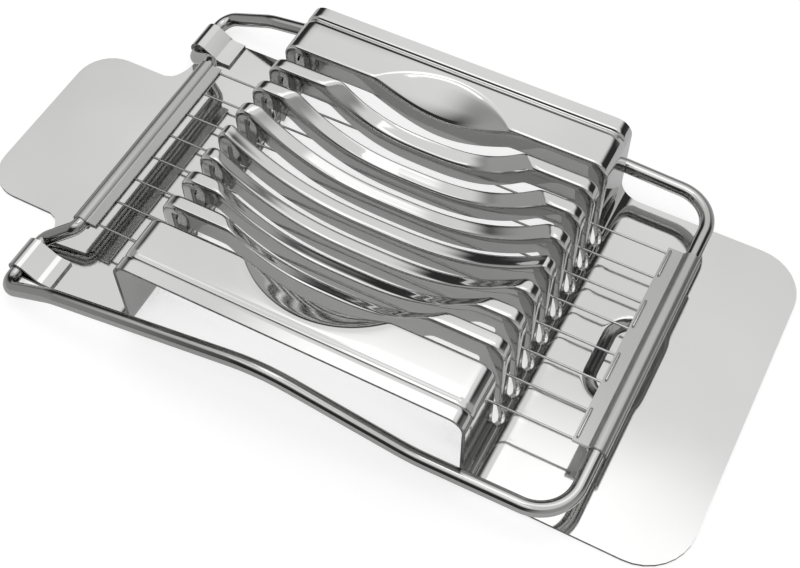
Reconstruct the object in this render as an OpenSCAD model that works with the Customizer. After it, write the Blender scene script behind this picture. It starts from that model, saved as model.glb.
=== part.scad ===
// Hinged wire egg slicer: a one-piece pressed sheet base with a slotted egg
// bed, and a bent-rod frame that carries eight cutting wires.
// Millimetres, +Z up. X runs from the hinge (-X) to the free front edge (+X).
// The origin is at the bottom centre of the box round the closed slicer.

/* [Base sheet] */
// Thickness of the pressed sheet
sheet_t = 0.7; // [0.5:0.05:0.9]
// Length of the base, from the tail's end to the front edge
base_l = 161.2; // [158:0.2:170]
// Width of the base
base_w = 74; // [73:0.1:74.4]
// Length of the flat front plate, from the bed's front wall
front_l = 41; // [36:0.5:46]
// Corner radius of the front plate
front_r = 10; // [6:0.5:14]
// Width of the tail behind the hinge
tail_w = 42.8; // [38:0.2:46]
// Corner radius of the tail
tail_r = 8; // [5:0.5:12]
// Fillet between the tail and the hinge edge
tail_fillet_r = 4; // [2:0.5:6]

/* [Bed] */
// Length of the bed over its two end walls
bed_l = 71.7; // [70:0.1:74]
// Height of the bed above the plate
bed_h = 22.3; // [20:0.1:26]
// Outside radius of the bend over each end wall
bend_r = 3.5; // [2.5:0.1:4.5]
// Radius of the fillet at the foot of each end wall
foot_r = 4.6; // [3:0.1:6]
// Distance between the two stiffening grooves along the bed's sides
groove_span = 66.8; // [65:0.1:69]
// Radius of the section of each stiffening groove
groove_r = 1.2; // [0.8:0.1:2]
// Depth of each stiffening groove
groove_d = 0.35; // [0.1:0.05:0.5]

/* [Slots and ribs] */
// Number of cutting wires, with one slot for each
wire_n = 8; // [6:2:8]
// Distance between neighbouring wires
pitch = 6.5; // [6:0.1:6.8]
// Width of each slot
slot_w = 3.5; // [2.5:0.1:4]
// Height of the slots' lowest point above the plate
slot_z = 1.5; // [1:0.1:3]
// Depth of the turned-down edge of each rib
flange_h = 5; // [3.5:0.1:6]
// Width of the relief slit in each rib's edge at the rear bend
slit_w = 1.2; // [0.8:0.1:1.6]

/* [Egg dish] */
// Length of the dish, across the wires' run
dish_l = 67.8; // [60:0.2:68]
// Width of the dish, along the hinge
dish_w = 62.2; // [60:0.2:64]
// Depth of the dish
dish_d = 11.3; // [8:0.1:12]

/* [Finger recess] */
// Length of the recess, along the hinge
recess_l = 20.5; // [16:0.5:26]
// Width of the recess
recess_w = 14; // [10:0.5:16]
// Depth of the recess
recess_d = 0.4; // [0.2:0.05:0.4]
// Corner radius of the recess
recess_r = 6; // [2:0.5:8]

/* [Hinge] */
// Distance from the bed's rear wall to the hinge axis
hinge_l = 26.9; // [24:0.1:30]
// Width of each hinge knuckle
knuckle_w = 7; // [5:0.1:7.4]
// Radial clearance of the rod in its knuckle
hinge_gap = 0.05; // [0.02:0.01:0.1]
// Length of the flap that returns onto the plate, from the hinge axis
flap_l = 7.6; // [7:0.1:9]

/* [Frame] */
// Diameter of the frame rod
rod_d = 3; // [2.5:0.1:3.2]
// Distance between the arms' centrelines at the hinge
arm_rear_w = 82.8; // [82.4:0.1:85]
// Distance between the arms' centrelines at the front bar
arm_front_w = 77.2; // [77:0.1:80]
// Distance from the front wall to the front bar's centre
bar_x = 19.7; // [17:0.1:22]
// Height of the front bar's centre above the plate
bar_z = 6.6; // [6.2:0.1:8]
// Height of the arms' hump above the plate
hump_z = 14.9; // [11:0.1:17]
// Height of the arms in front of and behind the hump
arm_z = 7.2; // [6.6:0.1:8]
// Bend radius at the front corners
front_bend_r = 8; // [5:0.5:10]
// Bend radius at the rear corners
rear_bend_r = 3.2; // [2.6:0.1:3.6]
// Bend radius in the rear cranks
crank_bend_r = 2.2; // [2:0.1:2.6]
// Forward offset of the rear crossbar from the hinge axis
cross_x = 7; // [6:0.1:8]
// Upward offset of the rear crossbar from the hinge axis
cross_z = 4.45; // [4:0.1:5]

/* [Wire holders] */
// Thickness of the holder strip
strip_t = 0.4; // [0.3:0.05:0.6]
// Play between the strip and the rod that it is rolled round
strip_gap = 0.03; // [0.01:0.01:0.05]
// Reach of the front band behind the bar's centre
front_band_l = 4.8; // [3.5:0.1:6]
// Reach of the rear band in front of the crossbar's centre
rear_band_l = 3.6; // [3:0.1:5]
// Length of holder past the outer wires
holder_end = 0.8; // [0.5:0.1:0.8]

/* [Wires] */
// Diameter of the cutting wire
wire_d = 0.5; // [0.4:0.05:0.6]
// Height of the wires above the plate
wire_z = 6.5; // [6.2:0.1:7]
// Play round the wire where it passes through a holder
wire_gap = 0.03; // [0.01:0.01:0.05]
// Distance from the front band's edge to the wire holes
hole_in = 0.7; // [0.5:0.05:1.2]

/* [Hidden] */

$fn = 48;
steps = 8;                                    // straight pieces in each bend's outline
eps = 0.01;                                   // overrun of a cut past the face it opens

rod_r = rod_d / 2;
wire_r = wire_d / 2;
half_w = base_w / 2;

// Heights
plate_z = sheet_t;                            // top face of the plate
top_z = plate_z + bed_h;                      // top of the bed
slot_end_z = plate_z + slot_z + slot_w / 2;   // centre of the slots' round ends
span_z = plate_z + wire_z;                    // centre of the wires

// Stations along X
front_x = base_l / 2;                         // free front edge
rear_x = -base_l / 2;                         // end of the tail
wall_x = front_x - front_l;                   // outside of the front wall
back_x = wall_x - bed_l;                      // outside of the rear wall
mid_x = (wall_x + back_x) / 2;                // middle of the bed
hinge_x = back_x - hinge_l;                   // hinge axis
front_bar_x = wall_x + bar_x;                 // centre of the front bar
recess_x = front_bar_x - 2.8;                 // the recess lies under the front bar

// Hinge
bore_r = rod_r + hinge_gap;
knuckle_r = bore_r + sheet_t;
hinge_z = plate_z + bore_r;
knuckle_in = half_w - knuckle_w;              // inner end of each knuckle
curl_end = [0.6, 0.8];                        // direction in which the curl straightens into the flap

// Ribs and side panels
rib_n = wire_n - 1;
rib_w = pitch - slot_w;
field = wire_n / 2 * pitch - pitch / 2 + slot_w / 2;   // half width of the slotted field
function wire_y(k) = (k - (wire_n - 1) / 2) * pitch;   // k counts from 0 at -Y
function rib_y(n) = (n - (rib_n - 1) / 2) * pitch;     // n counts from 0 at -Y

// Depth of the dish below the flat top. Its outline is a rounded diamond, and
// its floor is nearly flat along X with steep ends.
outline_e = 1.5;
side_e = 2.5;
floor_e = 2.7;
function reach(y) = dish_l / 2 * pow(max(0, 1 - pow(abs(y) / (dish_w / 2), outline_e)), 1 / outline_e);
function depth_at(y) = dish_d * max(0, 1 - pow(abs(y) / (dish_w / 2), side_e));
function dish(x, y) =
    reach(y) < 1 ? 0 : depth_at(y) * max(0, 1 - pow(min(1, abs(x - mid_x) / reach(y)), floor_e));

// End of the dish in each side panel: part of a cone that opens upward
end_half = reach(field);                      // half length where it meets the slots
end_sag = dish_w / 2 - field;                 // how far it reaches past them
end_r = (end_half * end_half + end_sag * end_sag) / (2 * end_sag);
end_y = dish_w / 2 - end_r;                   // the cone's axis
end_slope = depth_at(field) / end_sag;
function end_dish(x) =
    max(0, end_slope * (end_r - norm([x - mid_x, field - end_y])));

// ---- Outlines ----

// Points of an arc about [cx, cz], from angle a0 to a1
function arc(cx, cz, r, a0, a1) =
    [for (i = [0:steps]) let (a = a0 + (a1 - a0) * i / steps) [cx + r * cos(a), cz + r * sin(a)]];

function reverse(p) = [for (i = [len(p) - 1:-1:0]) p[i]];
function unit(v) = v / norm(v);

// Depth of the top at x: kind "rib" follows the dish at y, "edge" the side panel's edge
function sink(x, kind, y) = kind == "rib" ? dish(x, y) : kind == "edge" ? end_dish(x) : 0;
top_steps = 28;
function top_x(i, d) =
    let (x0 = wall_x - max(bend_r, d), x1 = back_x + max(bend_r, d)) x0 + (x1 - x0) * i / top_steps;

// Line at depth d inside the bed's skin, over both bends and the top
function skin_line(kind, y, d) =
    concat(arc(wall_x - bend_r, top_z - bend_r, bend_r - d, 0, 90),
           [for (i = [1:top_steps - 1])
               let (x = top_x(i, 0),
                    s = (sink(x + 0.1, kind, y) - sink(x - 0.1, kind, y)) / 0.2)
               [x, top_z - sink(x, kind, y) - d * sqrt(1 + s * s)]],
           arc(back_x + bend_r, top_z - bend_r, bend_r - d, 90, 180));

// Line along the free edge of a turned-down flange
flange_foot = 12;                             // height over which the flange widens
slit_roof = 2.4;                              // depth of flange left above a slit
function flange_line(kind, y) =
    concat([[wall_x - sheet_t, slot_end_z], [wall_x - flange_h, slot_end_z + flange_foot]],
           [for (i = [0:top_steps])
               let (x = top_x(i, flange_h)) [x, top_z - sink(x, kind, y) - flange_h]],
           [[back_x + flange_h, slot_end_z + flange_foot], [back_x + sheet_t, slot_end_z]]);

// Foot and wall of one end, as a band of sheet; s is 1 at the front, -1 at the rear
function wall_band(s) =
    let (x = s > 0 ? wall_x : back_x, cx = x + s * foot_r, cz = plate_z + foot_r)
    concat([[x, top_z - bend_r]],
           [for (p = arc(0, 0, foot_r, 180, 270)) [cx + s * p[0], cz + p[1]]],
           [for (p = arc(0, 0, foot_r + sheet_t, 270, 180)) [cx + s * p[0], cz + p[1]]],
           [[x - s * sheet_t, top_z - bend_r]]);

// ---- Helpers ----

// Extrudes an outline drawn in X and Z from y0 to y1
module along_y(y0, y1) {
    translate([0, y1, 0]) rotate([90, 0, 0]) linear_extrude(y1 - y0) children();
}

module mirrored_y() {
    children();
    mirror([0, 1, 0]) children();
}

// Rectangle centred on y = 0 with its right-hand corners rounded
module plate_end(x0, x1, w, r) {
    translate([x0, -w / 2]) square([x1 - r - x0, w]);
    translate([x1 - r - eps, -w / 2 + r]) square([r + eps, w - 2 * r]);
    for (s = [-1, 1]) translate([x1 - r, s * (w / 2 - r)]) circle(r, $fn = 96);
}

module round_rect(l, w, r) {
    square([l - 2 * r, w], center = true);
    square([l, w - 2 * r], center = true);
    for (i = [-1, 1], j = [-1, 1]) translate([i * (l / 2 - r), j * (w / 2 - r)]) circle(r);
}

// ---- Base ----

module front_plate() {
    difference() {
        linear_extrude(sheet_t) plate_end(wall_x + foot_r, front_x, base_w, front_r);
        translate([recess_x, 0, plate_z - recess_d])
            linear_extrude(sheet_t) round_rect(recess_w, recess_l, recess_r);
    }
}

module rear_plate() {
    foot_x = back_x - foot_r;
    linear_extrude(sheet_t) {
        translate([hinge_x, -half_w]) square([foot_x - hinge_x, base_w]);
        mirror([1, 0]) plate_end(-hinge_x - eps, -rear_x, tail_w, tail_r);
        mirrored_y() difference() {
            translate([hinge_x - tail_fillet_r, tail_w / 2 - eps])
                square([tail_fillet_r + eps, tail_fillet_r + eps]);
            translate([hinge_x - tail_fillet_r, tail_w / 2 + tail_fillet_r]) circle(tail_fillet_r);
        }
    }
}

module slots() {
    for (k = [0:wire_n - 1], x = [back_x, wall_x]) translate([x - foot_r, wire_y(k), slot_end_z]) {
        rotate([0, 90, 0]) cylinder(d = slot_w, h = 2 * foot_r);
        translate([0, -slot_w / 2, 0]) cube([2 * foot_r, slot_w, bed_h]);
    }
}

module end_walls() {
    difference() {
        along_y(-half_w, half_w) for (s = [-1, 1]) polygon(wall_band(s));
        slots();
    }
}

// One turned-down edge, y0 to y1
module flange(kind, y, y0, y1) {
    along_y(y0, y1) difference() {
        polygon(concat([[wall_x, slot_end_z]], skin_line(kind, y, 0), [[back_x, slot_end_z]],
                       reverse(flange_line(kind, y))));
        translate([back_x + bend_r - slit_w, top_z - flange_h - 2 * slit_w])
            square([slit_w, flange_h + 2 * slit_w - slit_roof]);
    }
}

module rib(n) {
    y = rib_y(n);
    y0 = y - rib_w / 2;
    y1 = y + rib_w / 2;
    along_y(y0, y1) polygon(concat(skin_line("rib", y, 0), reverse(skin_line("rib", y, sheet_t))));
    flange("rib", y, y0, y0 + sheet_t);
    flange("rib", y, y1 - sheet_t, y1);
}

// Side panel at +Y, with its end of the dish and its stiffening groove
module side_panel() {
    slant = sheet_t * sqrt(1 + end_slope * end_slope);
    low_r = end_r - end_sag - 1;
    low_z = top_z - end_slope * (end_r - low_r);
    difference() {
        along_y(field, half_w)
            polygon(concat(skin_line("flat", 0, 0), reverse(skin_line("flat", 0, sheet_t))));
        translate([mid_x, end_y, 0]) cylinder(r = end_r, h = top_z + 1, $fn = 96);
        translate([back_x, groove_span / 2, top_z - groove_d + groove_r])
            rotate([0, 90, 0]) cylinder(r = groove_r, h = bed_l);
    }
    intersection() {
        translate([mid_x, end_y, 0]) rotate_extrude($fn = 96)
            polygon([[low_r, low_z], [end_r, top_z], [end_r + 1, top_z],
                     [end_r + 1, top_z - sheet_t], [end_r, top_z - slant], [low_r, low_z - slant]]);
        translate([mid_x - end_r - 1, field, 0]) cube([2 * end_r + 2, end_sag + 1, top_z + 1]);
    }
    flange("edge", 0, field, field + sheet_t);
}

// Knuckle at +Y: the sheet curls up over the rod and its flap returns onto the plate
module knuckle() {
    up = curl_end;                            // from the axis to the end of the curl
    down = [up[1], -up[0]];                   // along the slope of the flap
    root = unit(up - down / 12);              // the flap's root, inside the end of the curl
    run = (knuckle_r * up[1] + bore_r - sheet_t) / up[0];
    far = 3 * knuckle_r;                      // well past the curl
    translate([hinge_x, 0, hinge_z]) along_y(knuckle_in, half_w) {
        difference() {
            circle(knuckle_r);
            circle(bore_r);
            polygon([[0, 0], 3 * up, [far, 0], [far, -far], [0, -far]]);
        }
        polygon([bore_r * up, (bore_r + sheet_t / 4) * root, (knuckle_r - sheet_t / 4) * root,
                 knuckle_r * up, knuckle_r * up + run * down,
                 [flap_l, sheet_t - bore_r], [flap_l, -bore_r],
                 [bore_r * up[0] + (run + sheet_t) * down[0], -bore_r]]);
    }
}

module base() {
    color("gainsboro") {
        front_plate();
        rear_plate();
        end_walls();
        for (n = [0:rib_n - 1]) rib(n);
        mirrored_y() {
            side_panel();
            knuckle();
        }
    }
}

// ---- Frame ----

arm_rear_y = arm_rear_w / 2;
arm_front_y = arm_front_w / 2;
function arm_y(x) = arm_rear_y + (arm_front_y - arm_rear_y) * (x - hinge_x) / (front_bar_x - hinge_x);

rise_l = 12.6;                                // from the hinge axis to where the arm levels off
rise_drop = 0.4;                              // how much lower the arm is there
hump_back = 3.1;                              // how far the hump lies behind the bed's middle
dip_l = 9;                                    // from where the arm is low again to the front wall
cross_end = 2.35;                             // length of crossbar past the outer wires
crank_in = 1.8;                               // from a knuckle to the corner of its crank
rise_r = 14;                                  // bend radii of the arm: at its rise,
hump_r = 30;                                  // at its hump
dip_r = 25;                                   // and where it is low again
rise_x = hinge_x + rise_l;
hump_x = mid_x - hump_back;
dip_x = wall_x - dip_l;
cross_y = wire_y(wire_n - 1) + cross_end;
crank_y = knuckle_in - crank_in;

// Corners of one half of the rod's centreline, each with its bend radius
half_path = [
    [[hinge_x + cross_x, cross_y, hinge_z + cross_z], crank_bend_r],
    [[hinge_x, crank_y, hinge_z], crank_bend_r],
    [[hinge_x, arm_rear_y, hinge_z], rear_bend_r],
    [[rise_x, arm_y(rise_x), plate_z + arm_z - rise_drop], rise_r],
    [[hump_x, arm_y(hump_x), plate_z + hump_z], hump_r],
    [[dip_x, arm_y(dip_x), plate_z + arm_z], dip_r],
    [[front_bar_x, arm_front_y, plate_z + bar_z], front_bend_r]
];
bend_thin = 0.02;                             // how much a bend loses in radius
bend_lap = 0.05;                              // how far a bend runs into its straights
function flip_y(c) = [[c[0][0], -c[0][1], c[0][2]], c[1]];
path = concat(half_path, [for (c = reverse(half_path)) flip_y(c)]);

function corner(i) = path[(i + len(path)) % len(path)];
// Directions into and out of corner i, the turn there and the length that its bend takes
function dir_in(i) = unit(corner(i)[0] - corner(i - 1)[0]);
function dir_out(i) = unit(corner(i + 1)[0] - corner(i)[0]);
function turn(i) = acos(max(-1, min(1, dir_in(i) * dir_out(i))));
function bend_run(i) = corner(i)[1] * tan(turn(i) / 2);

// Angles that turn X onto ex and Z onto ez
function euler(ex, ey, ez) = [atan2(ey[2], ez[2]), -asin(ex[2]), atan2(ex[1], ex[0])];

// Straight stretch of rod from p to q
module rod_between(p, q) {
    v = q - p;
    translate(p) rotate([0, acos(v[2] / norm(v)), atan2(v[1], v[0])]) cylinder(r = rod_r, h = norm(v));
}

// The bend at corner i, a slice of a torus. Bending thins the rod a little, and
// the slice runs a short way into the straight stretches on both sides.
module rod_bend(i) {
    r = corner(i)[1];
    lap = bend_lap / r * 180 / PI;
    ez = unit(cross(dir_in(i), dir_out(i)));
    ey = dir_in(i);
    ex = cross(ey, ez);                       // from the bend's centre to its start
    start = corner(i)[0] - bend_run(i) * dir_in(i);
    translate(start - r * ex) rotate(euler(ex, ey, ez)) rotate([0, 0, -lap])
        rotate_extrude(angle = turn(i) + 2 * lap, $fn = 96)
            translate([r, 0]) circle(rod_r - bend_thin, $fn = 48);
}

module frame_rod() {
    color("silver") for (i = [0:len(path) - 1]) {
        rod_bend(i);
        rod_between(corner(i)[0] + bend_run(i) * dir_out(i),
                    corner(i + 1)[0] - bend_run(i + 1) * dir_in(i + 1));
    }
}

// ---- Wire holders and wires ----

roll_r = rod_r + strip_gap + strip_t;         // outside of a rolled strip
holder_w = 2 * (wire_y(wire_n - 1) + holder_end);
band_t = 2 * strip_t;                         // the strip's two edges lie together
front_band_z = span_z + wire_r + wire_gap;    // underside of the front band
hole_x = front_bar_x - front_band_l + hole_in;
rear_edge_x = hinge_x + cross_x + rear_band_l;
rear_band_t = band_t + wire_d + 2 * wire_gap; // the rear band closes over the wires
grip_l = rear_band_l - roll_r;                // how far the wires go into it

module front_wire_holder() {
    color("lightgray") difference() {
        along_y(-holder_w / 2, holder_w / 2) {
            difference() {
                union() {
                    translate([front_bar_x, plate_z + bar_z]) circle(roll_r);
                    translate([front_bar_x - front_band_l, front_band_z]) square([front_band_l, band_t]);
                }
                translate([front_bar_x, plate_z + bar_z]) circle(rod_r + strip_gap);
            }
        }
        for (k = [0:wire_n - 1]) translate([hole_x, wire_y(k), front_band_z - 1])
            cylinder(r = wire_r + wire_gap, h = band_t + 2);
    }
}

module rear_wire_holder() {
    cx = hinge_x + cross_x;
    cz = hinge_z + cross_z;
    color("lightgray") difference() {
        along_y(-holder_w / 2, holder_w / 2) difference() {
            union() {
                translate([cx, cz]) circle(roll_r);
                translate([cx, span_z - rear_band_t / 2]) square([rear_band_l, rear_band_t]);
            }
            translate([cx, cz]) circle(rod_r + strip_gap);
        }
        for (k = [0:wire_n - 1]) translate([rear_edge_x - grip_l, wire_y(k), span_z])
            rotate([0, 90, 0]) cylinder(r = wire_r + wire_gap, h = grip_l + 1);
    }
}

link_z = front_band_z + band_t + wire_gap + wire_r;   // centre of the link on the front band

// Hairpin: two spans, joined by a link that lies on the front band
module wire_pair(n) {
    x0 = rear_edge_x - grip_l + wire_gap;
    y0 = wire_y(2 * n - 2);
    y1 = wire_y(2 * n - 1);
    color("darkgray") {
        for (y = [y0, y1]) {
            translate([x0, y, span_z]) rotate([0, 90, 0]) cylinder(r = wire_r, h = hole_x - x0);
            translate([hole_x, y, span_z]) cylinder(r = wire_r, h = link_z - span_z);
            translate([hole_x, y, span_z]) sphere(wire_r);
            translate([hole_x, y, link_z]) sphere(wire_r);
        }
        translate([hole_x, y0, link_z]) rotate([-90, 0, 0]) cylinder(r = wire_r, h = y1 - y0);
    }
}

module wire_pair_1() { wire_pair(1); }
module wire_pair_2() { wire_pair(2); }
module wire_pair_3() { wire_pair(3); }
module wire_pair_4() { wire_pair(4); }

base();
frame_rod();
front_wire_holder();
rear_wire_holder();
wire_pair_1();
wire_pair_2();
wire_pair_3();
wire_pair_4();
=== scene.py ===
"""Looks of a hinged wire egg slicer: a pressed, polished sheet base, a bent rod frame,
two rolled strip holders and four hairpin cutting wires. Lengths below are millimetres in
the part's own frame, and become metres when a mesh is made."""

import bpy
import numpy as np
from mathutils import Euler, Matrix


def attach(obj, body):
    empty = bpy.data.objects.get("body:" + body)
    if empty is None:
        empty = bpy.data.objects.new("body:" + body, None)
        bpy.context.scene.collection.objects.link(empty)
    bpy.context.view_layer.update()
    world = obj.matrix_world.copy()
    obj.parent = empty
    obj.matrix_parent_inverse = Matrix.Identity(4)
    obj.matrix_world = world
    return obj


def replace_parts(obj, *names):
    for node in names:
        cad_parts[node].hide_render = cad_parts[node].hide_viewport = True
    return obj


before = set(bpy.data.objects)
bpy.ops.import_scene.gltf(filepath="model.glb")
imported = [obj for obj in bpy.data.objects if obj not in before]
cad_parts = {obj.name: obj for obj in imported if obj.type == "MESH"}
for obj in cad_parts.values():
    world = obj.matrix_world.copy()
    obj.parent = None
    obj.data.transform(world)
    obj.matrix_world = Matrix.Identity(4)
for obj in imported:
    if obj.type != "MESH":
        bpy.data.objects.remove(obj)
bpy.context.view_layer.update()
MM = 0.001
NEAR = 1e-9                                   # slack where two lengths are compared
TINY = 1e-12                                  # least length that a direction is divided by

# ---- Sizes of the slicer ----

SHEET, FOLD = 0.7, 0.5                        # the sheet, and the sheet drawn thin by a fold
FRONT_X, WALL_X, BACK_X, HINGE_X, TAIL_X = 80.6, 39.6, -32.1, -59.0, -80.6
MID_X = (WALL_X + BACK_X) / 2
PLATE_Z, TOP_Z, HINGE_Z = 0.7, 23.0, 2.25
BEND_R, FOOT_R, FRONT_R = 3.5, 4.6, 10.0
HALF_W = 37.0
GROOVE = (32.1, 33.7, 34.2, 0.42)             # inner rim, bottom, outer rim, depth
GROOVE_GONE, GROOVE_FULL = 0.08, 0.88         # upward part of the normal where it fades
TAIL_HALF, TAIL_R, TAIL_NECK_X, NECK_HALF = 21.4, 8.0, -63.0, 29.0
WIRES, PITCH, SLOT_HALF, SLOT_Z = 8, 6.5, 1.75, 3.95
FIELD = 24.5                                  # half width of the slotted field
ROLL = 0.6                                    # radius of a rib's edge bend
FLANGE, END_FLANGE, REAR_FLANGE = 5.0, 1.2, 2.3
FLANGE_CORNER = 0.6
FRONT_GROW, REAR_GROW = 12.0, 7.0             # height over which a flange grows to depth
SLIT, SLIT_ROOF = 0.6, 2.8                    # half width of the relief slit, depth over it
DISH_HALF_L, DISH_HALF_W, DISH_D = 33.9, 31.1, 11.3
OUTLINE_POWER, LONG_POWER, CROSS_POWER = 1.5, 2.5, 2.7
DISH_TIP = 1e-6                               # keeps the dish's tips from closing to nothing
RECESS = (56.5, 7.0, 10.25, 6.0, 0.6)         # middle, half sizes, corner radius, depth
RECESS_WALL, SCOOP_RUN, RECESS_ROWS = 1.3, 2.0, 0.5  # the last: close rows go this far past
KNUCKLE_IN, BORE_R, FLAP_L = 30.0, 1.55, 7.6
FLAP_BEND, FLAP_LIFT, FLAP_DOWN = 1.2, 0.02, (0.8, -0.6)
BAR_X, BAR_Z, CROSS_X, CROSS_Z = 59.3, 7.3, -52.0, 6.7
ROD_R, STRIP, PLAY = 1.5, 0.4, 0.03
ARM_REAR_Y, ARM_FRONT_Y = 41.4, 38.6
RISE_X, HUMP_X, DIP_X = HINGE_X + 12.6, MID_X - 3.1, WALL_X - 9.0
RISE_Z, HUMP_Z, DIP_Z = PLATE_Z + 6.8, PLATE_Z + 14.9, PLATE_Z + 7.2
CRANK_OUT, PIN_IN = 2.35, 1.8                 # outside the last wire, inside the knuckle
WIRE_R, WIRE_Z, HOLE_X, LINK_Z, LINK_R = 0.25, 7.2, 55.2, 8.56, 0.4
HOLDER_HALF = 23.55
FRONT_BAND = (4.8, 8.08, 7.68)                # reach from the bar, heights of its layers
REAR_BAND = (3.6, WIRE_Z + 0.48, WIRE_Z - 0.48)
BAND_BENDS = (0.55, 0.4)                      # radii where the upper and lower layer part

wire_y = (np.arange(WIRES) - (WIRES - 1) / 2) * PITCH
rib_y = (wire_y[1:] + wire_y[:-1]) / 2


# ---- Putting surfaces together ----

def blend(a, b, t):
    """Straight mix of a and b by t."""
    return a + (b - a) * t


def ease(t):
    """Smooth step: 3t^2 - 2t^3 of t held between 0 and 1."""
    t = np.clip(t, 0, 1)
    return t * t * (3 - 2 * t)


def joined(*runs):
    """Values of several runs end to end, each run dropping the first value it shares."""
    return np.concatenate([runs[0]] + [r[1:] for r in runs[1:]])


MERGE, OFF_TIES = 1e4, 0.0000314              # steps in a millimetre, and a shift off half steps


def sheet_faces(patches):
    """Grids of points made one surface: points that agree to a ten-thousandth of a
    millimetre become one, and a square that closed up to a triangle stays a triangle.
    Each patch is (points [rows, columns, 3], thickness)."""
    points, squares, thick, base = [], [], [], 0
    for grid, t in patches:
        rows, cols = grid.shape[:2]
        n = np.arange(rows * cols).reshape(rows, cols) + base
        squares.append(np.stack([n[:-1, :-1], n[:-1, 1:], n[1:, 1:], n[1:, :-1]], -1).reshape(-1, 4))
        points.append(grid.reshape(-1, 3))
        thick.append(np.full(rows * cols, t))
        base += rows * cols
    points, squares, thick = np.vstack(points), np.vstack(squares), np.concatenate(thick)
    key = np.round((points + OFF_TIES) * MERGE).astype(np.int64)
    _, first, back = np.unique(key, axis=0, return_index=True, return_inverse=True)
    squares = back.ravel()[squares]
    least = np.full(len(first), np.inf)
    np.minimum.at(least, back.ravel(), thick)
    return points[first], squares, least


def split_faces(squares):
    """Squares with four corners, and triangles from squares with one doubled corner."""
    same = squares == np.roll(squares, -1, axis=1)
    whole = squares[~same.any(1)]
    one = squares[same.sum(1) == 1]
    drop = same[same.sum(1) == 1]
    tris = one[~drop].reshape(-1, 3)
    good = (tris[:, 0] != tris[:, 1]) & (tris[:, 1] != tris[:, 2]) & (tris[:, 0] != tris[:, 2])
    return whole, tris[good]


def vertex_normals(points, squares):
    """Unit sum of the crossed diagonals of the squares round each point."""
    a, b, c, d = (points[squares[:, corner]] for corner in range(4))
    across = np.cross(c - a, d - b)
    total = np.zeros_like(points)
    for corner in range(4):
        np.add.at(total, squares[:, corner], across)
    return total / np.maximum(np.linalg.norm(total, axis=1, keepdims=True), TINY)


def thickened(points, squares, thick):
    """A surface given a wall: its inner skin is the skin moved in along its normals by the
    sheet's thickness, never under the floor, and its rim, which takes the second
    material, joins the free edges of both."""
    inner = points - vertex_normals(points, squares) * thick[:, None]
    inner[:, 2] = np.maximum(inner[:, 2], 0.0)
    whole, tris = split_faces(squares)
    edges = np.vstack([squares[:, [i, (i + 1) % 4]] for i in range(4)])
    edges = edges[edges[:, 0] != edges[:, 1]]
    size = len(points)
    code = np.sort(edges, axis=1) @ np.array([size, 1])
    _, back, count = np.unique(code, return_inverse=True, return_counts=True)
    free = edges[count[back.ravel()] == 1]
    rim = np.stack([free[:, 1], free[:, 0], free[:, 0] + size, free[:, 1] + size], -1)
    quads = np.vstack([whole, whole[:, ::-1] + size, rim])
    three = np.vstack([tris, tris[:, ::-1] + size]) if len(tris) else tris
    numbers = np.r_[np.zeros(2 * len(whole), int), np.ones(len(rim), int), np.zeros(len(three), int)]
    return np.vstack([points, inner]), quads, three, numbers


def new_piece(name, points, quads, tris, numbers, materials, angle=40):
    """A mesh object from arrays of points in millimetres, squares, triangles and the
    number of each face's material, smooth except over edges sharper than the angle."""
    mesh = bpy.data.meshes.new(name)
    loops = np.concatenate([quads.ravel(), tris.ravel()]).astype(np.int32)
    starts = np.r_[np.arange(len(quads)) * 4, len(quads) * 4 + np.arange(len(tris)) * 3]
    mesh.vertices.add(len(points))
    mesh.vertices.foreach_set("co", (points * MM).astype(np.float32).ravel())
    mesh.loops.add(len(loops))
    mesh.loops.foreach_set("vertex_index", loops)
    mesh.polygons.add(len(starts))
    mesh.polygons.foreach_set("loop_start", starts.astype(np.int32))
    mesh.polygons.foreach_set("material_index", numbers.astype(np.int32))
    for material in materials:
        mesh.materials.append(material)
    mesh.validate()
    mesh.update(calc_edges=True)
    mesh.shade_smooth()
    mesh.set_sharp_from_angle(angle=np.radians(angle))
    piece = bpy.data.objects.new(name, mesh)
    bpy.context.scene.collection.objects.link(piece)
    return piece


# ---- The base's profile and dish ----

def wall_x(side):
    """x of the outside of the front (side 1) or rear (-1) wall."""
    return WALL_X if side > 0 else BACK_X


def foot_at(side, z):
    """The fillet at a wall's foot, at height z: a circle of the foot radius, one radius
    out from the wall and up from the plate. Returns x, z and the outward normal, which
    points at the circle's centre."""
    a = np.arcsin(np.clip((PLATE_Z + FOOT_R - z) / FOOT_R, 0, 1))
    angles = np.pi + a if side > 0 else -a
    c, s = np.cos(angles), np.sin(angles)
    return wall_x(side) + side * FOOT_R + FOOT_R * c, PLATE_Z + FOOT_R + FOOT_R * s, -c, -s


def reach(y):
    """Half length of the dish at y: its outline is a rounded diamond."""
    inside = np.maximum(1 - (np.abs(y) / DISH_HALF_W) ** OUTLINE_POWER, DISH_TIP)
    return DISH_HALF_L * inside ** (1 / OUTLINE_POWER)


def depth_at(y):
    """Depth of the dish on its middle line at y, whole at 0 and nothing at its tips."""
    return DISH_D * np.maximum(1 - (np.abs(y) / DISH_HALF_W) ** LONG_POWER, 0)


def dish(x, y, crest=0.06):
    """Depth of the dish at x, y: the depth at y times a fall to nothing at its outline,
    rounded off at the crest by the mean of itself and its own hyperbola."""
    g = 1 - (np.abs(x - MID_X) / reach(y)) ** CROSS_POWER
    return depth_at(y) * (g + np.sqrt(g * g + crest * crest)) / 2


end_half, end_sag = reach(FIELD), DISH_HALF_W - FIELD
END_R = (end_half ** 2 + end_sag ** 2) / (2 * end_sag)
END_Y = DISH_HALF_W - END_R
END_SLOPE = depth_at(FIELD) / end_sag


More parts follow.
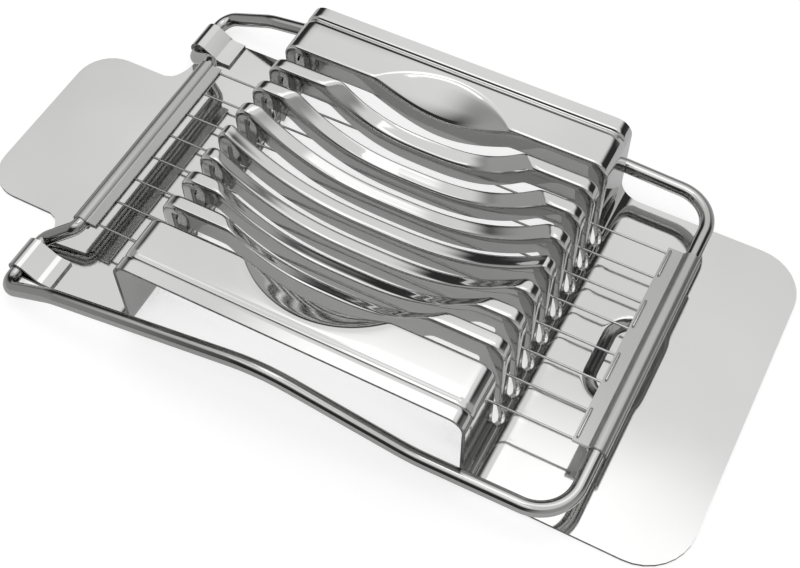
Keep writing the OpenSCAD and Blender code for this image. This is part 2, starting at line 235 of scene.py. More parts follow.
def end_dish(x, y, crest=0.35):
    """Depth of the dish's end in a side panel: a cone about (middle, END_Y) that opens
    upward, rounded off at its rim by a hyperbola."""
    d = END_R - np.hypot(x - MID_X, np.abs(y) - END_Y)
    return END_SLOPE * (d + np.sqrt(d * d + crest * crest)) / 2


def either(a, b):
    """The larger of two drops, blended where they are alike: (a^3 + b^3)^(1/3)."""
    return (np.maximum(a, 0) ** 3 + np.maximum(b, 0) ** 3) ** (1 / 3)


WALL_STEPS, BEND_STEPS = 9, 9


class Strip:
    """Rows of the bed's profile between its two slot ends: up the front wall, over the
    top at the given stations and down the rear wall. x, z and the normal's nx and nz have
    a value for each row, and drop is how far a row near the top lies below it."""

    def __init__(self, top_x):
        low = np.linspace(SLOT_Z, PLATE_Z + FOOT_R, 3)
        tall = np.linspace(PLATE_Z + FOOT_R, TOP_Z - BEND_R, WALL_STEPS)
        a = np.linspace(0, np.pi / 2, BEND_STEPS)
        c, s = np.cos(a), np.sin(a)
        bend_z = TOP_Z - BEND_R
        parts = [
            foot_at(1, low),
            (tall * 0 + WALL_X, tall, tall * 0 + 1, tall * 0),
            (WALL_X - BEND_R + BEND_R * c, bend_z + BEND_R * s, c, s),
            (top_x, top_x * 0 + TOP_Z, top_x * 0, top_x * 0 + 1),
            (BACK_X + BEND_R - BEND_R * s, bend_z + BEND_R * c, -s, c),
            (tall * 0 + BACK_X, tall[::-1], tall * 0 - 1, tall * 0),
            foot_at(-1, low[::-1]),
        ]
        self.x, self.z, self.nx, self.nz = (joined(*[p[i] for p in parts]) for i in range(4))
        part = joined(*[np.full(len(p[0]), i) for i, p in enumerate(parts)])
        self.on_top = (part >= 2) & (part <= 4)
        wall_top = (part == 1) & (self.z >= bend_z - NEAR)
        self.drop = np.where(self.on_top | wall_top, TOP_Z - self.z, 0)
        self.bends = (part == 2) | (part == 4)
        self.bend_front, self.top, self.bend_rear = (np.flatnonzero(part == i) for i in (2, 3, 4))


CROWDING, CROWD_WIDTH = 3.0, 1.6              # how much closer stations lie, and how far out


def top_stations(crests, count=64, fine=2001):
    """Stations along the top, closer together at the dish's crests: the inverse of the
    running sum of 1 plus a bell at each crest, taken in fine steps."""
    x = np.linspace(WALL_X - BEND_R, BACK_X + BEND_R, fine)
    density = 1 + sum(CROWDING * np.exp(-((x - c) / CROWD_WIDTH) ** 2) for c in crests)
    run = np.concatenate([[0], np.cumsum((density[1:] + density[:-1]) / 2)])
    return np.interp(np.linspace(0, run[-1], count), run, x)


def flange_edge(strip, height):
    """Free edge of a slot's flange for every row: as deep as the end collar at the slot's
    ends, growing to the full depth up the walls, round a small corner inside each bend,
    and a set depth below the top, whose height is the given function of x. The rear bend
    holds a relief slit, round at its top. Returns x and z arrays."""
    front_x = WALL_X - FLANGE - FLANGE_CORNER
    front_z = height(front_x) - FLANGE - FLANGE_CORNER
    slit_x, slit_z = BACK_X + REAR_FLANGE + SLIT, height(BACK_X + BEND_R) - SLIT_ROOF
    x, z = strip.x.copy(), strip.z.copy()
    for side, top, deep, grow in ((1, front_z, FLANGE, FRONT_GROW), (-1, slit_z, REAR_FLANGE, REAR_GROW)):
        wall = (strip.nx * side > 0) & ~strip.bends
        tall = blend(SLOT_Z, top, (strip.z[wall] - SLOT_Z) / (TOP_Z - BEND_R - SLOT_Z))
        h = blend(END_FLANGE, deep, ease((tall - SLOT_Z) / grow))
        x[wall] -= h * strip.nx[wall]
        z[wall] = tall - h * strip.nz[wall]
    n = strip.bend_front
    a = np.linspace(0, np.pi / 2, len(n) + 1)[1:]
    x[n], z[n] = front_x + FLANGE_CORNER * np.cos(a), front_z + FLANGE_CORNER * np.sin(a)
    n = strip.top
    x[n] = blend(front_x, slit_x + SLIT, (strip.x[n] - (WALL_X - BEND_R)) / (BACK_X - WALL_X + 2 * BEND_R))
    z[n] = height(x[n]) - FLANGE
    n = strip.bend_rear
    a = np.linspace(0, np.pi, len(n))
    x[n], z[n] = slit_x + SLIT * np.cos(a), slit_z + SLIT * np.sin(a)
    return x, z


ROLL_STEPS, FLANGE_STEPS = 4, 3


def rolled(start, corner, edge):
    """Sheet turned down over an edge: from start a quarter round towards the corner
    point, by the rational quadratic curve of a circle, then straight to the free edge."""
    way = edge - corner
    foot_point = corner + way * (ROLL / np.linalg.norm(way, axis=-1, keepdims=True))
    t = np.linspace(0, 1, ROLL_STEPS + 1)[:, None, None]
    w = np.sqrt(0.5)
    a, b, c = (1 - t) ** 2, 2 * w * t * (1 - t), t * t
    turn = (a * start + b * corner + c * foot_point) / (a + b + c)
    s = np.linspace(0, 1, FLANGE_STEPS + 1)[1:, None, None]
    return np.concatenate([turn, blend(foot_point, edge, s)])


def stack(x, y, z):
    """Points from arrays of x, y and z that share one shape."""
    return np.stack(np.broadcast_arrays(x, y, z), -1).astype(float)


def rib_patch(yc):
    """One rib: rows along its strip and columns across it, the far flange from its free
    edge up, the flat that follows the dish, and the near flange down again."""
    strip = Strip(top_stations([MID_X - reach(yc), MID_X + reach(yc)]))

    def surface(y):
        sunk = strip.z + strip.drop - either(strip.drop, dish(strip.x, y))
        return stack(strip.x, y, np.where(strip.on_top, sunk, strip.z))

    half = PITCH / 2 - SLOT_HALF
    edge = flange_edge(strip, lambda x: TOP_Z - dish(x, yc))
    flat = np.stack([surface(yc + v) for v in np.linspace(-1, 1, 5) * (half - ROLL)])
    sides = []
    for s in (-1, 1):
        out = stack(edge[0], yc + s * half, edge[1])
        sides.append(rolled(surface(yc + s * (half - ROLL)), surface(yc + s * half), out))
    grid = np.concatenate([sides[0][::-1], flat[1:-1], sides[1]])
    return grid.transpose(1, 0, 2)


# Columns of a side panel: up to the dish's crest, on to the groove, over it, to the edge
TO_CREST = (0, .3, .55, .75, .88, .96, 1.0)
TO_GROOVE = (.04, .12, .25, .45, .7, 1.0)
GROOVE_Y = joined(np.linspace(GROOVE[0], GROOVE[1], 9), np.linspace(GROOVE[1], GROOVE[2], 7))[1:]
EDGE_Y = (34.9, 36.0, HALF_W)
CREST_PAST, CREST_EASE = 0.5, 0.3             # least past the field's roll, and its rounding


def groove_drop(y):
    """Depth of the stiffening groove: a smooth step down from its inner rim to its
    bottom, and a steeper one up again to its outer rim."""
    inner, bottom, outer, deep = GROOVE
    return deep * ease((y - inner) / (bottom - inner)) * ease((outer - y) / (outer - bottom))


def panel_columns(x):
    """y of each column of a side panel at x. The crest's column follows the dish's rim,
    an arc about (middle, END_Y)."""
    arc = END_Y + np.sqrt(np.maximum(END_R ** 2 - (x - MID_X) ** 2, 0))
    low = FIELD + ROLL + CREST_PAST
    crest = (arc + low + np.sqrt((arc - low) ** 2 + CREST_EASE)) / 2
    y = [blend(FIELD + ROLL, crest, t) for t in TO_CREST]
    y += [blend(crest, GROOVE[0], t) for t in TO_GROOVE]
    return np.stack(y + [x * 0 + v for v in (*GROOVE_Y, *EDGE_Y)])


def panel_patch(side):
    """A side panel with the ends of both walls: the profile, less the dish's end, and
    less a groove across the profile's normal that runs out down each bend."""
    strip = Strip(top_stations([MID_X - end_half, MID_X + end_half], count=76))
    y = panel_columns(strip.x)
    run_out = ease((strip.nz - GROOVE_GONE) / (GROOVE_FULL - GROOVE_GONE))

    def surface(yy):
        sunk = strip.z + strip.drop - either(strip.drop, np.where(strip.on_top, end_dish(strip.x, yy), 0))
        z = np.where(strip.on_top, sunk, strip.z)
        deep = groove_drop(yy) * run_out
        return stack(strip.x - strip.nx * deep, side * yy, z - strip.nz * deep)

    grid = np.stack([surface(row) for row in y])
    edge = flange_edge(strip, lambda x: TOP_Z - end_dish(x, FIELD))
    turned = rolled(grid[0], surface(y[0] * 0 + FIELD), stack(edge[0], side * FIELD, edge[1]))
    grid = np.concatenate([turned[::-1], grid[1:]])
    return (grid if side > 0 else grid[::-1]).transpose(1, 0, 2)


# ---- Plates and slot ends ----

SLOT_STEPS = 10
slot_a = np.linspace(np.pi, 0, SLOT_STEPS + 1)
side_cols = panel_columns(np.array([WALL_X]))[:, 0]


def apron_columns():
    """y of each column of the plates from -Y to +Y, and how high its row at a slot's end
    stands: round each slot's lower half on a circle, level between them."""
    flat = PITCH / 2 - SLOT_HALF - ROLL
    r = SLOT_HALF + ROLL
    runs_y, runs_z = [-side_cols[::-1]], [side_cols * 0 + SLOT_Z]
    for k, yk in enumerate(wire_y):
        runs_y.append(yk + r * np.cos(slot_a))
        runs_z.append(SLOT_Z - r * np.sin(slot_a))
        if k < WIRES - 1:
            runs_y.append(yk + PITCH / 2 + np.linspace(-1, 1, 5) * flat)
            runs_z.append(np.full(5, SLOT_Z))
    return joined(*runs_y, side_cols), joined(*runs_z, side_cols * 0 + SLOT_Z)


COL_Y, COL_Z = apron_columns()


def foot_rows(side):
    """Rows of a foot's fillet from the plate to the slots' ends, evenly by angle."""
    a_top = np.arcsin((PLATE_Z + FOOT_R - COL_Z) / FOOT_R)
    a = blend(np.pi / 2, a_top, np.linspace(0, 1, 9)[:, None])
    x = wall_x(side) + side * FOOT_R * (1 - np.cos(a))
    return stack(x, COL_Y, PLATE_Z + FOOT_R * (1 - np.sin(a)))


def recess_drop(x, y):
    """Depth of the finger recess: a smooth step of the distance to a rounded
    rectangle's edge, as wide as the recess's wall, times one that runs it out forward."""
    mid, hx, hy, r, deep = RECESS
    qx, qy = np.abs(x - mid) - hx + r, np.abs(y) - hy + r
    away = np.hypot(np.maximum(qx, 0), np.maximum(qy, 0)) + np.minimum(np.maximum(qx, qy), 0) - r
    return deep * ease(-away / RECESS_WALL) * (1 - ease((x - mid + SCOOP_RUN) / (hx + SCOOP_RUN / 2)))


def circle_half(past, radius):
    """Half chord of a circle at a distance from its middle, whole before the middle."""
    return np.sqrt(np.maximum(radius ** 2 - np.maximum(past, 0) ** 2, 0))


def front_plate():
    """The front plate, from its rounded free edge to the foot: columns drawn in by the
    corner circle's width, rows close together over the recess."""
    a = np.linspace(np.pi / 2, 0, 9)
    corner_x = FRONT_X - FRONT_R
    near, far = RECESS[0] + RECESS[1] + RECESS_ROWS, RECESS[0] - RECESS[1] - RECESS_ROWS
    x = joined(corner_x + FRONT_R * np.sin(a), np.linspace(corner_x, near, 5), np.linspace(near, far, 34),
               np.linspace(far, WALL_X + FOOT_R, 6))
    half = HALF_W - FRONT_R + circle_half(x - corner_x, FRONT_R)
    x, y = x[:, None], COL_Y * (half / HALF_W)[:, None]
    return stack(x, y, PLATE_Z - recess_drop(x, y))


def nearest(y):
    """The column at +Y that lies nearest y."""
    return COL_Y[np.argmin(np.abs(COL_Y - y))]


tail_col, knuckle_col = nearest(TAIL_HALF), nearest(KNUCKLE_IN)
REAR_Y = np.sign(COL_Y) * np.interp(np.abs(COL_Y), [0, tail_col, knuckle_col, HALF_W],
                                    [0, TAIL_HALF, KNUCKLE_IN, HALF_W])


def rear_plate():
    """The rear plate, from the foot to the hinge line, to the concave neck and to the
    tail: over the first two thirds, columns slide to the tail's side and the knuckles'
    inner ends."""
    gap = np.clip((NECK_HALF - np.abs(REAR_Y)) / (NECK_HALF - TAIL_HALF), 0, 1)
    end = TAIL_NECK_X + (HINGE_X - TAIL_NECK_X) * np.sqrt(1 - gap ** 2)
    t = np.linspace(0, 1, 12)[:, None]
    return stack(blend(BACK_X - FOOT_R, end, t), blend(COL_Y, REAR_Y, ease(t * 1.5)), PLATE_Z)


def tail_plate():
    """The tail, its columns drawn in by the end corners' circles."""
    a = np.linspace(0, np.pi / 2, 9)
    corner_x = TAIL_X + TAIL_R
    x = joined(np.linspace(TAIL_NECK_X, corner_x, 4), corner_x - TAIL_R * np.sin(a))
    half = TAIL_HALF - TAIL_R + circle_half(corner_x - x, TAIL_R)
    y = REAR_Y[np.abs(REAR_Y) <= TAIL_HALF + NEAR]
    return stack(x[:, None], y * (half / TAIL_HALF)[:, None], PLATE_Z)


def knuckle_path():
    """Inner side of a knuckle in x and z: round the bore from below over the rod, then
    straight down the flap, round a bend and flat along the plate."""
    down = np.array(FLAP_DOWN)
    curl_end = np.arctan2(down[0], -down[1]) - 2 * np.pi
    a = np.linspace(-np.pi / 2, curl_end, 30)
    curl = np.stack([HINGE_X + BORE_R * np.cos(a), HINGE_Z + BORE_R * np.sin(a)], 1)
    low = PLATE_Z + FLAP_LIFT
    knee = curl[-1] + down * (low - curl[-1, 1]) / down[1]
    t = np.linspace(0, 1, 9)[:, None]
    start, end = knee - down * FLAP_BEND, knee + np.array([FLAP_BEND, 0])
    turn = (1 - t) ** 2 * start + 2 * t * (1 - t) * knee + t * t * end
    return np.vstack([curl, turn, [[HINGE_X + FLAP_L, low]]])


def knuckle(side):
    """A knuckle: its path carried over the plate's columns from its inner end out."""
    y = REAR_Y[side * REAR_Y >= KNUCKLE_IN - NEAR]
    path = knuckle_path()
    return stack(path[:, 0, None], y, path[:, 1, None])


def collar(side, yk):
    """The collar round a slot's end: from the fillet's surface turned in along the
    normal, on half circles of the slot's radius, as deep as the end flange."""

    def half_circle(radius):
        x, z, nx, nz = foot_at(side, SLOT_Z - radius * np.sin(slot_a))
        return stack(x, yk + radius * np.cos(slot_a), z), stack(nx, 0, nz)

    start = half_circle(SLOT_HALF + ROLL)[0]
    corner, normal = half_circle(SLOT_HALF)
    grid = rolled(start, corner, corner - END_FLANGE * normal)
    return grid if side > 0 else grid[::-1]


def pressed_base(materials):
    """The whole base as one sheet: plates, walls, panels, ribs, collars and knuckles."""
    plain = [front_plate(), foot_rows(1), foot_rows(-1)[::-1], rear_plate(), tail_plate()]
    plain += [knuckle(s) for s in (-1, 1)] + [panel_patch(s) for s in (-1, 1)]
    folded = [rib_patch(y) for y in rib_y] + [collar(s, y) for s in (-1, 1) for y in wire_y]
    patches = [(grid, SHEET) for grid in plain] + [(grid, FOLD) for grid in folded]
    piece = new_piece("pressed_base", *thickened(*sheet_faces(patches)), materials)
    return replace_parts(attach(piece, "base"), "base")


# ---- Frame rod, wires and holders ----

def rounded_path(corners, radii, closed, step):
    """Straight stretches joined by arcs: at each corner an arc of the given radius,
    tangent to both sides, one point for each step in degrees."""
    corners = np.array(corners, float)
    out = []
    count = len(corners)
    for i in range(count):
        here, r = corners[i], radii[i]
        if r == 0 or (not closed and i in (0, count - 1)):
            out.append(here[None])
            continue
        u = corners[i - 1] - here
        v = corners[(i + 1) % count] - here
        u, v = u / np.linalg.norm(u), v / np.linalg.norm(v)
        inside = np.arccos(np.clip(u @ v, -1, 1))
        back = r / np.tan(inside / 2)
        mid = (u + v) / np.linalg.norm(u + v)
        centre = here + mid * r / np.sin(inside / 2)
        a, b = here + back * u - centre, here + back * v - centre
        turn = np.pi - inside
        t = np.linspace(0, 1, max(3, int(np.ceil(np.degrees(turn) / step))) + 1)[:, None]
        out.append(centre + (np.sin((1 - t) * turn) * a + np.sin(t * turn) * b) / np.sin(turn))
    return np.vstack(out)


CAP = np.radians([90, 60, 30])                # rings of a rounded end, from its tip


def tube(path, radius, sides, closed, up=(0, 0, 1)):
    """A round tube along a path: at each point a circle across the path's direction, its
    first axis square to the given up direction. Open ends close on rounded caps."""
    if closed:
        along = np.roll(path, -1, 0) - np.roll(path, 1, 0)
    else:
        along = np.gradient(path, axis=0)
    along /= np.linalg.norm(along, axis=1, keepdims=True)
    first = np.cross(along, up)
    first /= np.linalg.norm(first, axis=1, keepdims=True)
    second = np.cross(first, along)
    wide = np.ones(len(path))
    if not closed:
        out = radius * np.sin(CAP)[:, None]
        rows = np.r_[[0] * len(CAP), np.arange(len(path)), [-1] * len(CAP)]
        path = np.vstack([path[0] - along[0] * out, path, (path[-1] + along[-1] * out)[::-1]])
        wide = np.concatenate([np.cos(CAP), wide, np.cos(CAP)[::-1]])
        first, second = first[rows], second[rows]
    a = np.linspace(0, 2 * np.pi, sides + 1)[:, None]
    ring = first[:, None] * np.cos(a) + second[:, None] * np.sin(a)
    grid = path[:, None] + radius * wide[:, None, None] * ring
    return np.concatenate([grid, grid[:1]]) if closed else grid


def solid_from(name, grids, materials, angle=40):
    """Closed grids as one piece, turned round so that its faces point outward."""
    points, squares, _ = sheet_faces([(g, 0.0) for g in grids])
    whole, tris = split_faces(squares)
    return new_piece(name, points, whole[:, ::-1], tris[:, ::-1], np.zeros(len(whole) + len(tris), int),
                     materials, angle)


def frame_rod(materials):
    """The rod: one closed path of arms, front bar, cranks and rear crossbar, from its
    corners on one side, each with its bend's radius, and their mirror images."""

    def arm(x, z):
        return x, blend(ARM_REAR_Y, ARM_FRONT_Y, (x - HINGE_X) / (BAR_X - HINGE_X)), z

    corners = [(CROSS_X, wire_y[-1] + CRANK_OUT, CROSS_Z), (HINGE_X, KNUCKLE_IN - PIN_IN, HINGE_Z),
               (HINGE_X, ARM_REAR_Y, HINGE_Z), arm(RISE_X, RISE_Z), arm(HUMP_X, HUMP_Z), arm(DIP_X, DIP_Z),
               (BAR_X, ARM_FRONT_Y, BAR_Z)]
    radii = [2.2, 2.2, 3.2, 14, 30, 25, 8]
    corners += [(x, -y, z) for x, y, z in corners[::-1]]
    path = rounded_path(corners, radii + radii[::-1], closed=True, step=5.0)
    piece = solid_from("bent_rod", [tube(path, ROD_R, sides=28, closed=True)], materials)
    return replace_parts(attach(piece, "cutting_frame"), "frame_rod")


OFF_WIRE = (0.577, 0.211, 0.788)              # a direction that no stretch of wire takes


def wire_pair(n, materials):
    """A hairpin wire: out along one span, up through the front band, across and back."""
    y0, y1 = wire_y[2 * n], wire_y[2 * n + 1]
    x0 = CROSS_X + ROD_R + 2 * PLAY + STRIP
    corners = [(x0, y0, WIRE_Z), (HOLE_X, y0, WIRE_Z), (HOLE_X, y0, LINK_Z),
               (HOLE_X, y1, LINK_Z), (HOLE_X, y1, WIRE_Z), (x0, y1, WIRE_Z)]
    path = rounded_path(corners, [0] + [LINK_R] * 4 + [0], closed=False, step=22.5)
    wire = tube(path, WIRE_R, sides=10, closed=False, up=OFF_WIRE)
    piece = solid_from(f"hairpin_wire_{n + 1}", [wire], materials, angle=60)
    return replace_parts(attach(piece, "cutting_frame"), f"wire_pair_{n + 1}")


def strip_holder(name, node, centre, side, band, materials):
    """A holder: flat strip rolled round a bar, both its ends meeting in one band. The
    path runs in x and z along one layer, round the bar and back along the other, and is
    carried along Y with half the strip's thickness on each side. The points of the ring
    next to the band make room for the bends."""
    (cx, cz), (band_l, upper, lower) = centre, band
    r = ROD_R + PLAY + STRIP / 2
    a_up = np.pi - np.arcsin((upper - cz) / r)
    a_low = np.pi - np.arcsin((lower - cz) / r)
    a = np.delete(np.linspace(a_up, a_low - 2 * np.pi, 44), [1, 2, -3, -2])
    ring = np.stack([cx + side * r * np.cos(a), cz + r * np.sin(a)], 1)
    end_x = cx - side * band_l
    radii = [0, BAND_BENDS[0]] + [0] * (len(ring) - 2) + [BAND_BENDS[1], 0]
    corners = np.vstack([[(end_x, upper)], ring, [(end_x, lower)]])
    path = rounded_path(corners, radii, closed=False, step=12.0)
    along = np.gradient(path, axis=0)
    along /= np.linalg.norm(along, axis=1, keepdims=True)
    out = np.stack([along[:, 1], -along[:, 0]], 1) * STRIP / 2
    outer, inner = path + out, path - out
    loop = np.vstack([outer, inner[::-1], outer[:1]])
    grids = [stack(loop[:, 0], np.array([[-HOLDER_HALF], [HOLDER_HALF]]), loop[:, 1])]
    for y, rows in ((-HOLDER_HALF, (outer, inner)), (HOLDER_HALF, (inner, outer))):
        grids.append(np.stack([stack(row[:, 0], y, row[:, 1]) for row in rows]))
    piece = solid_from(name, grids, materials, angle=50)
    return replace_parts(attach(piece, "cutting_frame"), node)


# ---- Finishes ----

class Value:
    """A shader socket that takes part in sums: an expression on it adds Math nodes."""

    def __init__(self, finish, socket):
        self.finish, self.socket = finish, socket

    def _math(self, operation, a, b):
        return self.finish.node("ShaderNodeMath", {"operation": operation}, {0: a, 1: b})

    def __add__(self, other): return self._math("ADD", self, other)
    def __radd__(self, other): return self._math("ADD", other, self)
    def __sub__(self, other): return self._math("SUBTRACT", self, other)
    def __rsub__(self, other): return self._math("SUBTRACT", other, self)
    def __mul__(self, other): return self._math("MULTIPLY", self, other)
    def __rmul__(self, other): return self._math("MULTIPLY", other, self)

    def op(self, operation, other=0.0): return self._math(operation, self, other)


class Finish:
    """A material under construction. node() adds a node from its type, its settings and
    the values or links of its inputs, and returns one output as a Value."""

    def __init__(self, name):
        self.material = bpy.data.materials.new(name)
        self.material.use_nodes = True
        self.tree = self.material.node_tree
        self.tree.nodes.clear()

    def node(self, kind, settings=(), inputs=(), output=0):
        made = self.tree.nodes.new(kind)
        for key, value in dict(settings).items():
            setattr(made, key, value)
        for key, value in dict(inputs).items():
            if isinstance(value, Value):
                self.tree.links.new(value.socket, made.inputs[key])
            else:
                made.inputs[key].default_value = value
        return Value(self, made.outputs[output]) if made.outputs else None

    def place(self, stretch=(1, 1, 1)):
        """Object coordinates in metres, stretched."""
        spot = self.node("ShaderNodeTexCoord", output="Object")
        return self.node("ShaderNodeMapping", {}, {"Vector": spot, "Scale": stretch})

    def axes(self):
        """The three object coordinates in metres, one value each."""
        split = self.tree.nodes.new("ShaderNodeSeparateXYZ")
        self.tree.links.new(self.place().socket, split.inputs[0])
        return [Value(self, split.outputs[axis]) for axis in "XYZ"]

    def clipped(self, value, low, high):
        """A value stretched so that low becomes 0 and high becomes 1, held between them."""
        return self.node("ShaderNodeMapRange", {"clamp": True},
                         {"Value": value, "From Min": low, "From Max": high}, output="Result")

    def eased(self, value, low, high, start=0.0, end=1.0):
        """A smooth step of the value: start below low, end above high."""
        return self.node("ShaderNodeMapRange", {"interpolation_type": "SMOOTHSTEP"},
                         {"Value": value, "From Min": low, "From Max": high, "To Min": start, "To Max": end},
                         output="Result")

    def noise(self, scale, detail=3.0, rough=0.5, stretch=(1, 1, 1)):
        return self.node("ShaderNodeTexNoise", {}, {"Vector": self.place(stretch), "Scale": scale,
                                                    "Detail": detail, "Roughness": rough})

    def tint(self, mask, dark, light):
        """A colour between dark and light by the mask."""
        return self.node("ShaderNodeMix", {"data_type": "RGBA"},
                         {"Factor": mask, "A": (*dark, 1), "B": (*light, 1)}, output="Result")

    def done(self, shader):
        self.node("ShaderNodeOutputMaterial", {}, {"Surface": shader})
        return self.material


def polished_steel(name, dark, light, smooth, rough, wave, wave_scale, grain=(1, 1, 1), grain_scale=900.0,
                   press=None, metal=1.0):
    """Polished stainless steel: a tone that drifts a little between dark and light,
    polishing haze and fine lines that take the roughness from smooth to rough, a slow
    wave of the surface in metres, and a pressed form if given."""
    f = Finish(name)
    drift = f.noise(22.0, 2.0)
    haze = f.noise(60.0, 4.0, 0.6)
    lines = f.noise(grain_scale, 3.0, 0.7, grain)
    worn = f.clipped(haze, 0.4, 0.75) * 0.55 + f.clipped(lines, 0.45, 0.75) * 0.45
    normal = {"Height": f.noise(wave_scale, 1.0), "Strength": 1.0, "Distance": wave}
    if press:
        normal["Normal"] = f.node("ShaderNodeBump", {},
                                  {"Height": press(f), "Strength": 1.0, "Distance": 1.0})
    return f.done(f.node("ShaderNodeBsdfPrincipled", {},
                         {"Base Color": f.tint(f.clipped(drift, 0.35, 0.65), dark, light),
                          "Metallic": metal, "Roughness": smooth + (rough - smooth) * worn,
                          "Normal": f.node("ShaderNodeBump", {}, normal)}))


PRESS_DEPTH, PRESS_WIDTH = 1.5, 3.0           # the recess as its steel's bump shows it


def recess_press(f):
    """Height in metres of the finger recess's wall: a smooth step of the distance inside
    a rounded rectangle, which is its corner radius less the length of what passes its
    straight sides, times one that runs it out forward."""
    mid, hx, hy, r = RECESS[:4]
    x, y, _ = f.axes()
    over_x = ((x - mid * MM).op("ABSOLUTE") - (hx - r) * MM).op("MAXIMUM", 0.0)
    over_y = (y.op("ABSOLUTE") - (hy - r) * MM).op("MAXIMUM", 0.0)
    inside = r * MM - (over_x * over_x + over_y * over_y).op("SQRT")
    step = f.eased(inside, 0.0, PRESS_WIDTH * MM, 0.0, -PRESS_DEPTH * MM)
    run = f.eased(x, (mid - SCOOP_RUN) * MM, (mid + hx - SCOOP_RUN / 2) * MM, 1.0, 0.0)
    return step * run


def sheared_edge(name):
    """The cut edge of the sheet: greyer, with short marks across its thickness."""
    f = Finish(name)
    marks = f.noise(1200.0, 2.0, 0.6, (1, 1, 0.15))
    colour = f.tint(f.clipped(marks, 0.35, 0.7), (0.16, 0.16, 0.16), (0.34, 0.34, 0.335))
    return f.done(f.node("ShaderNodeBsdfPrincipled", {},
                         {"Base Color": colour, "Metallic": 1.0, "Roughness": 0.25 + marks * 0.25}))


sheet_steel = polished_steel("polished_sheet_steel", (0.60, 0.60, 0.595), (0.66, 0.66, 0.655),
                             smooth=0.06, rough=0.12, wave=0.000006, wave_scale=45.0, press=recess_press)
edge_steel = sheared_edge("sheared_sheet_edge")
rod_steel = polished_steel("polished_rod_steel", (0.42, 0.42, 0.415), (0.52, 0.52, 0.515),
                           smooth=0.09, rough=0.19, wave=0.000003, wave_scale=160.0,
                           grain=(0.25, 1, 1), grain_scale=1500.0)
strip_steel = polished_steel("holder_strip_steel", (0.42, 0.42, 0.41), (0.50, 0.50, 0.49),
                             smooth=0.12, rough=0.22, wave=0.000004, wave_scale=140.0,
                             grain=(1, 0.08, 1), grain_scale=1800.0, metal=0.65)
wire_steel = polished_steel("drawn_wire_steel", (0.50, 0.50, 0.50), (0.62, 0.62, 0.62),
                            smooth=0.20, rough=0.32, wave=0.000001, wave_scale=300.0,
                            grain=(0.1, 1, 1), grain_scale=2500.0)

pressed_base([sheet_steel, edge_steel])
frame_rod([rod_steel])
for n in range(WIRES // 2):
    wire_pair(n, [wire_steel])
strip_holder("front_rolled_strip", "front_wire_holder", (BAR_X, BAR_Z), 1, FRONT_BAND, [strip_steel])
strip_holder("rear_rolled_strip", "rear_wire_holder", (CROSS_X, CROSS_Z), -1, REAR_BAND, [strip_steel])


# ---- Floor, light and camera ----

WHITE = (1, 1, 1, 1)
FLOOR_GLOW, FLOOR_TONE, METAL_GLOW, METAL_TONE = 0.74, 0.42, 0.24, 0.50
PAINTED_SHADOW_REACH, PAINTED_SHADOW_COVER = 0.03, (0.0, 0.10)        # metres up, and the open share that lights up: the glow is cut where the slicer covers the floor, a painted shadow
SKY = 0.60                                    # the world's light on what isn't a mirror
FLOOR_HALF, DOME_R = 6.0, 1.6                 # metres
DOME_LOW, DOME_HIGH = 0.2, 66                 # degrees up from the floor
DARK_TO, CLEAR_FROM, LEAN = 0.56, 0.78, 0.1   # heights over the dome's radius, and their tilt
# Paler sides of the room: a level direction, and how far along it they start and are full
PALE_SIDES = ((0.90, -0.43, 0.48, 0.86), (0.26, 0.97, 0.80, 0.94), (-0.97, -0.26, 0.62, 0.86))
ROOM_DARK, ROOM_PALE = (0.035, 0.035, 0.035), (0.46, 0.46, 0.46)
ENDS = np.array([-1.0, 1.0])


def seen_as(f, *kinds):
    """1 for rays of the given kinds, such as Is Camera Ray, and 0 for the rest."""
    path = f.tree.nodes.new("ShaderNodeLightPath")
    flags = [Value(f, path.outputs[kind]) for kind in kinds]
    return sum(flags[1:], flags[0]).op("MINIMUM", 1.0)


def grey(tone):
    """A colour with its alpha from one tone."""
    return (tone, tone, tone, 1)


def stage_piece(name, grid, material, seen=True):
    """A piece of the stage from a grid of points in millimetres. A piece that isn't seen
    shows in reflections alone."""
    points, squares, _ = sheet_faces([(grid, 0.0)])
    whole, tris = split_faces(squares)
    piece = new_piece(name, points, whole, tris, np.zeros(len(whole) + len(tris), int), [material])
    piece.visible_camera = piece.visible_shadow = seen
    return piece


def white_floor():
    """A pale floor that shows white and keeps the slicer's real shadow in its matt part. Its glow fades out
    where the slicer covers it from above, a painted shadow deepest under the bed, and in the metal it is a
    matt floor with a weaker glow."""
    f = Finish("white_floor")

    def glowing(tone, glow, where):
        matt = f.node("ShaderNodeBsdfDiffuse", {}, {"Color": grey(tone)})
        light = f.node("ShaderNodeEmission", {}, {"Strength": glow})
        both = f.node("ShaderNodeAddShader", {}, {0: light, 1: matt})
        return f.node("ShaderNodeMixShader", {}, {0: where, 1: matt, 2: both})

    # Ambient occlusion takes the glow away where the slicer covers the floor: a painted shadow under the bed
    painted_shadow_cover = f.node("ShaderNodeAmbientOcclusion", {"samples": 8}, {"Distance": PAINTED_SHADOW_REACH}, output="AO")
    shown = glowing(FLOOR_TONE, FLOOR_GLOW, f.eased(painted_shadow_cover, *PAINTED_SHADOW_COVER))
    mirrored = glowing(METAL_TONE, METAL_GLOW, seen_as(f, "Is Glossy Ray"))
    seen = seen_as(f, "Is Camera Ray", "Is Transmission Ray")
    return f.done(f.node("ShaderNodeMixShader", {}, {0: seen, 1: mirrored, 2: shown}))


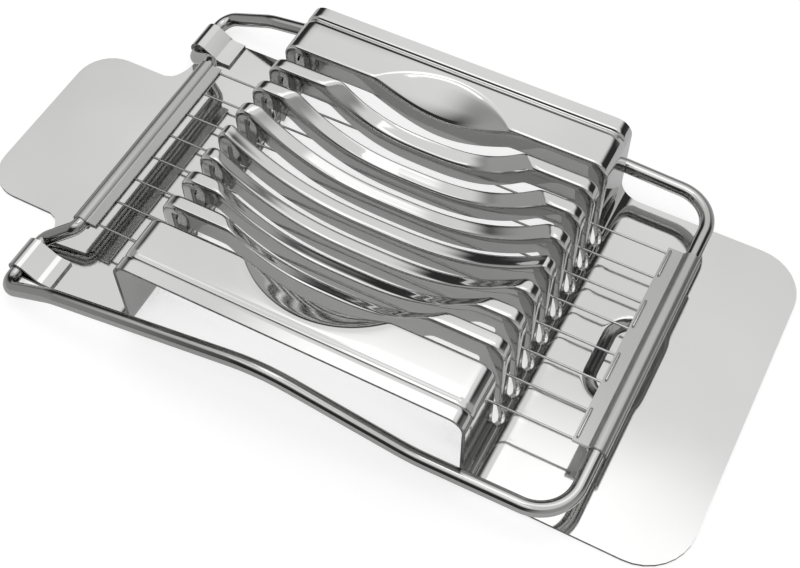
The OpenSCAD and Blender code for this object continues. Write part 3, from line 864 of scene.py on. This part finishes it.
def room_dome():
    """The room beyond the lamps: dark low down, clearing upward to the white beyond, and
    paler on three sides, each a smooth step of the distance along its own level
    direction."""
    f = Finish("room_dome")
    x, y, z = f.axes()
    clear = f.eased(z + y * LEAN, DOME_R * DARK_TO, DOME_R * CLEAR_FROM)
    pale = 0.0
    for along_x, along_y, start, full in PALE_SIDES:
        pale = f.eased(x * along_x + y * along_y, DOME_R * start, DOME_R * full).op("MAXIMUM", pale)
    shade = f.node("ShaderNodeEmission", {}, {"Color": f.tint(pale, ROOM_DARK, ROOM_PALE), "Strength": 1.0})
    through = f.node("ShaderNodeBsdfTransparent")
    return f.done(f.node("ShaderNodeMixShader", {}, {0: clear, 1: shade, 2: through}))


def soft_cloth(name, at, half, soft, strength):
    """A lamp's cloth: even in the middle and fading out to its edges, as the product of
    two smooth steps of the distance to them."""
    f = Finish(name)
    x, y, _ = f.axes()
    fade = (f.eased(half[0] - (x - at[0]).op("ABSOLUTE"), 0.0, soft)
            * f.eased(half[1] - (y - at[1]).op("ABSOLUTE"), 0.0, soft))
    lit = f.node("ShaderNodeEmission", {}, {"Color": WHITE, "Strength": strength})
    through = f.node("ShaderNodeBsdfTransparent")
    return f.done(f.node("ShaderNodeMixShader", {}, {0: fade, 1: through, 2: lit}))


def soft_panel(name, at, half, soft, strength):
    """A level lamp panel, facing down, in metres."""
    x, y, z = (ENDS * half[0] + at[0]) / MM, (ENDS[::-1, None] * half[1] + at[1]) / MM, at[2] / MM
    stage_piece(name, stack(x, y, z), soft_cloth(name, at, half, soft, strength), False)


stage_piece("floor", stack(ENDS * FLOOR_HALF / MM, ENDS[:, None] * FLOOR_HALF / MM, 0.0), white_floor())
soft_panel("main_panel", (0.0, 0.275, 0.90), (0.42, 0.235), soft=0.13, strength=1.6)
soft_panel("strip_panel", (-0.25, -0.34, 0.90), (0.45, 0.09), soft=0.05, strength=1.9)
lift = np.radians(np.linspace(DOME_LOW, DOME_HIGH, 32))[:, None]
around = np.linspace(0, 2 * np.pi, 97)
dome = stage_piece("room_dome", stack(np.cos(lift) * np.cos(around), np.cos(lift) * np.sin(around),
                                      np.sin(lift)) * DOME_R / MM, room_dome(), False)
dome.visible_diffuse = False

# A small lamp under the panel's middle gives the shadow some form
lamp_data = bpy.data.lights.new("key_lamp", "AREA")
lamp_data.shape, lamp_data.size, lamp_data.energy = "SQUARE", 0.25, 0.25
lamp = bpy.data.objects.new("key_lamp", lamp_data)
bpy.context.scene.collection.objects.link(lamp)
lamp.location = (-0.10, 0.02, 0.88)
lamp.rotation_euler = (-lamp.location).to_track_quat("-Z", "Y").to_euler()

world = bpy.data.worlds.new("studio")
bpy.context.scene.world = world
world.use_nodes = True


class WorldFinish(Finish):
    """The world's nodes, added to in the same way."""

    def __init__(self, world):
        self.tree = world.node_tree
        self.tree.nodes.clear()


w = WorldFinish(world)
sky = w.node("ShaderNodeBackground", {}, {"Color": WHITE, "Strength": SKY})
seen_white = w.node("ShaderNodeBackground", {}, {"Color": WHITE, "Strength": 1.0})
seen = seen_as(w, "Is Camera Ray", "Is Glossy Ray", "Is Transmission Ray")
back = w.node("ShaderNodeMixShader", {}, {0: seen, 1: sky, 2: seen_white})
w.node("ShaderNodeOutputWorld", {}, {"Surface": back})

camera_data = bpy.data.cameras.new("camera")
camera_data.lens, camera_data.sensor_width = 58.95, 36.0
camera_data.clip_start, camera_data.clip_end = 0.01, 50.0
camera = bpy.data.objects.new("camera", camera_data)
bpy.context.scene.collection.objects.link(camera)
camera.location = (0.07826, -0.13085, 0.21743)
camera.rotation_euler = Euler(np.radians((33.674, 0.456, 27.729)))
bpy.context.scene.camera = camera
bpy.context.scene.view_settings.view_transform = "Standard"
